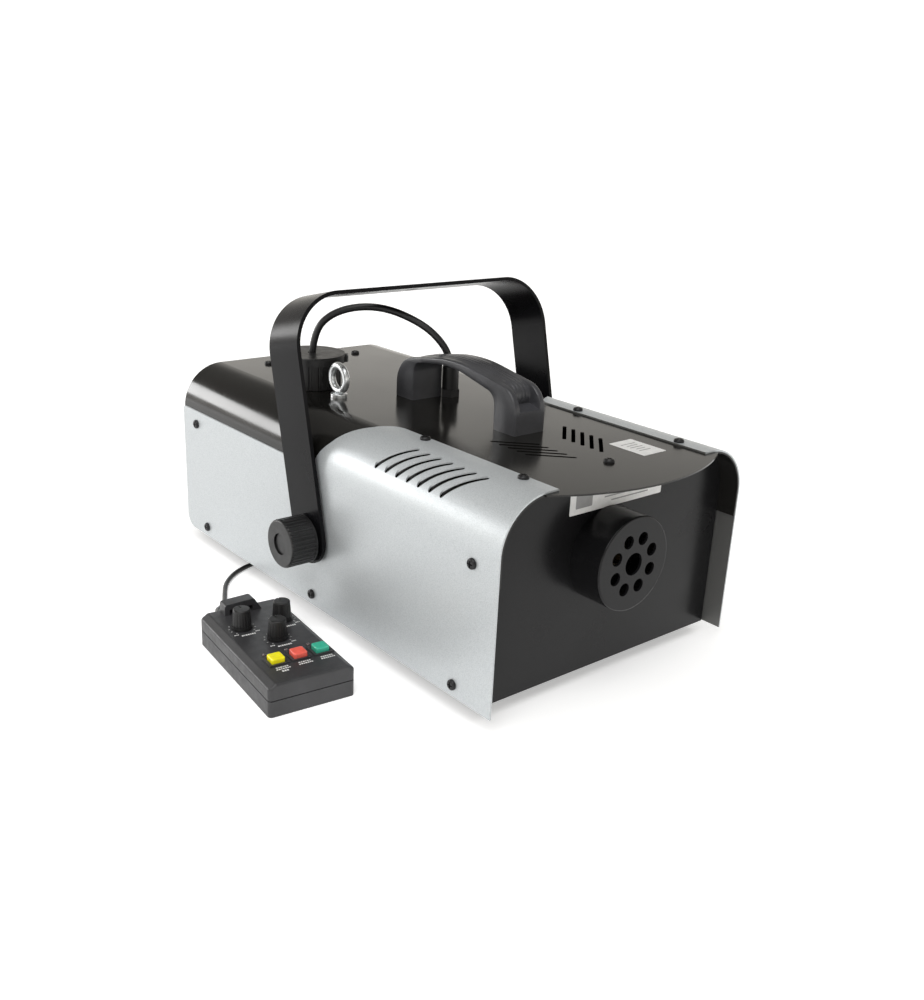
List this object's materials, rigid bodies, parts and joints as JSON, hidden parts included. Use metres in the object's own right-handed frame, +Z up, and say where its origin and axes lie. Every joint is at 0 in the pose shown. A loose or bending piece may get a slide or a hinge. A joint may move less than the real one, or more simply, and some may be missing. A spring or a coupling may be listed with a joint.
{
  "type": "fog machine",
  "caption": "Steel-cased fog machine with a tilting hanging bracket, carrying handle, fluid tank cap and hose, round vented nozzle, and a wired remote with knobs and buttons.",
  "frame": {"origin": "on the plane that the feet stand on, midway between the four feet and at mid length of the side panels", "axes": "+Z up, -Y the way the fog leaves, +X to the right of someone who faces the nozzle"},
  "size_m": [0.3784, 0.5492, 0.2557],
  "materials": {
    "black_coat": "satin black powder coat with a fine grain",
    "silver_coat": "silver-grey metallic paint with a fine speckle",
    "black_plastic": "moulded black plastic with a fine spark texture",
    "remote_plastic": "dark grey moulded ABS",
    "black_screw": "black-plated steel screw",
    "bright_zinc": "bright zinc plating",
    "zinc_steel": "zinc-plated steel",
    "rubber": "black rubber",
    "hose_black": "smooth black hose",
    "cable_black": "smooth black cable jacket",
    "tank_plastic": "natural translucent polyethylene",
    "aluminium": "cast aluminium",
    "insulation": "woven glass-fibre jacket",
    "brass": "turned brass",
    "circuit": "green circuit board with parts",
    "yellow_plastic": "glossy yellow plastic",
    "red_plastic": "glossy red plastic",
    "green_plastic": "glossy green plastic",
    "lamp_clear": "small smoked indicator lamp",
    "label_white": "white printed marks and blank labels"
  },
  "bodies": {
    "casing": {"base_chassis": "black_coat", "carry_handle": "black_plastic", "casing_screws": "black_screw", "control_board": "circuit", "fluid_hose": "hose_black", "fluid_pump": "zinc_steel", "fluid_tank": "tank_plastic", "foot_screws": "zinc_steel", "friction_washers": "rubber", "front_panel": "black_coat", "fuse_holder": "black_plastic", "handle_screws": "zinc_steel", "heater_block": "aluminium", "heater_jacket": "insulation", "heater_rails": "zinc_steel", "hose_gland": "black_plastic", "inlet_screws": "black_screw", "mains_inlet": "black_plastic", "nozzle_shroud": "black_coat", "nozzle_tip": "brass", "pickup_tube": "tank_plastic", "pivot_nuts": "zinc_steel", "pump_tubes": "tank_plastic", "rear_panel": "black_coat", "remote_board": "circuit", "remote_boot": "rubber", "remote_cable_coil": "cable_black", "remote_cable_run": "cable_black", "remote_cable_tail": "cable_black", "remote_controls": "zinc_steel", "remote_hanger": "remote_plastic", "remote_lamps": "lamp_clear", "remote_lower_shell": "remote_plastic", "remote_plug": "black_plastic", "remote_screws": "black_screw", "remote_socket": "black_plastic", "remote_upper_shell": "remote_plastic", "rubber_feet": "rubber", "safety_eye": "bright_zinc", "safety_eye_nut": "bright_zinc", "side_panel_left": "silver_coat", "side_panel_right": "silver_coat", "switch_frame": "black_plastic", "thermostats": "zinc_steel", "top_cover": "black_coat", "transformer": "zinc_steel"},
    "hanging_bracket": {"hanging_bracket": "black_coat"},
    "clamp_knob_left": {"clamp_knob_left": "black_plastic", "clamp_stud_left": "zinc_steel"},
    "clamp_knob_right": {"clamp_knob_right": "black_plastic", "clamp_stud_right": "zinc_steel"},
    "tank_cap": {"tank_cap": "black_plastic"},
    "power_rocker": {"power_rocker": "red_plastic"},
    "fuse_cap": {"fuse_cap": "black_plastic"},
    "remote_knob_interval": {"remote_knob_interval": "black_plastic"},
    "remote_knob_duration": {"remote_knob_duration": "black_plastic"},
    "remote_knob_output": {"remote_knob_output": "black_plastic"},
    "remote_button_timer": {"remote_button_timer": "yellow_plastic"},
    "remote_button_continuous": {"remote_button_continuous": "red_plastic"},
    "remote_button_manual": {"remote_button_manual": "green_plastic"}
  },
  "joints": [
    {"name": "bracket_tilt", "type": "hinge", "parent": "casing", "child": "hanging_bracket", "pos_m": [0, -0.004, 0.072], "axis": [-1, 0, 0], "range_deg": [-65, 38]},
    {"name": "left_knob_turn", "type": "hinge", "parent": "casing", "child": "clamp_knob_left", "pos_m": [-0.14, -0.004, 0.072], "axis": [-1, 0, 0], "continuous": true},
    {"name": "right_knob_turn", "type": "hinge", "parent": "casing", "child": "clamp_knob_right", "pos_m": [0.14, -0.004, 0.072], "axis": [1, 0, 0], "continuous": true},
    {"name": "tank_cap_turn", "type": "hinge", "parent": "casing", "child": "tank_cap", "pos_m": [-0.057, 0.1, 0.18], "axis": [0, 0, 1], "range_deg": [0, 540]},
    {"name": "power_rocker_tip", "type": "hinge", "parent": "casing", "child": "power_rocker", "pos_m": [0.018, 0.2075, 0.046], "axis": [1, 0, 0], "range_deg": [0, 14]},
    {"name": "fuse_cap_turn", "type": "hinge", "parent": "casing", "child": "fuse_cap", "pos_m": [0.098, 0.21, 0.046], "axis": [0, -1, 0], "range_deg": [0, 60]},
    {"name": "interval_knob_turn", "type": "hinge", "parent": "casing", "child": "remote_knob_interval", "pos_m": [-0.1989, -0.02772, 0.03], "axis": [0, 0, 1], "range_deg": [-135, 135]},
    {"name": "duration_knob_turn", "type": "hinge", "parent": "casing", "child": "remote_knob_duration", "pos_m": [-0.16768, -0.032, 0.03], "axis": [0, 0, 1], "range_deg": [-135, 135]},
    {"name": "output_knob_turn", "type": "hinge", "parent": "casing", "child": "remote_knob_output", "pos_m": [-0.18581, -0.05624, 0.03], "axis": [0, 0, 1], "range_deg": [-135, 135]},
    {"name": "timer_button_press", "type": "slide", "parent": "casing", "child": "remote_button_timer", "axis": [0, 0, -1], "range_m": [0, 0.0015], "stiffness_N_per_m": 300, "springref_m": -0.0006},
    {"name": "continuous_button_press", "type": "slide", "parent": "casing", "child": "remote_button_continuous", "axis": [0, 0, -1], "range_m": [0, 0.0015], "stiffness_N_per_m": 300, "springref_m": -0.0006},
    {"name": "manual_button_press", "type": "slide", "parent": "casing", "child": "remote_button_manual", "axis": [0, 0, -1], "range_m": [0, 0.0015], "stiffness_N_per_m": 300, "springref_m": -0.0006}
  ]
}
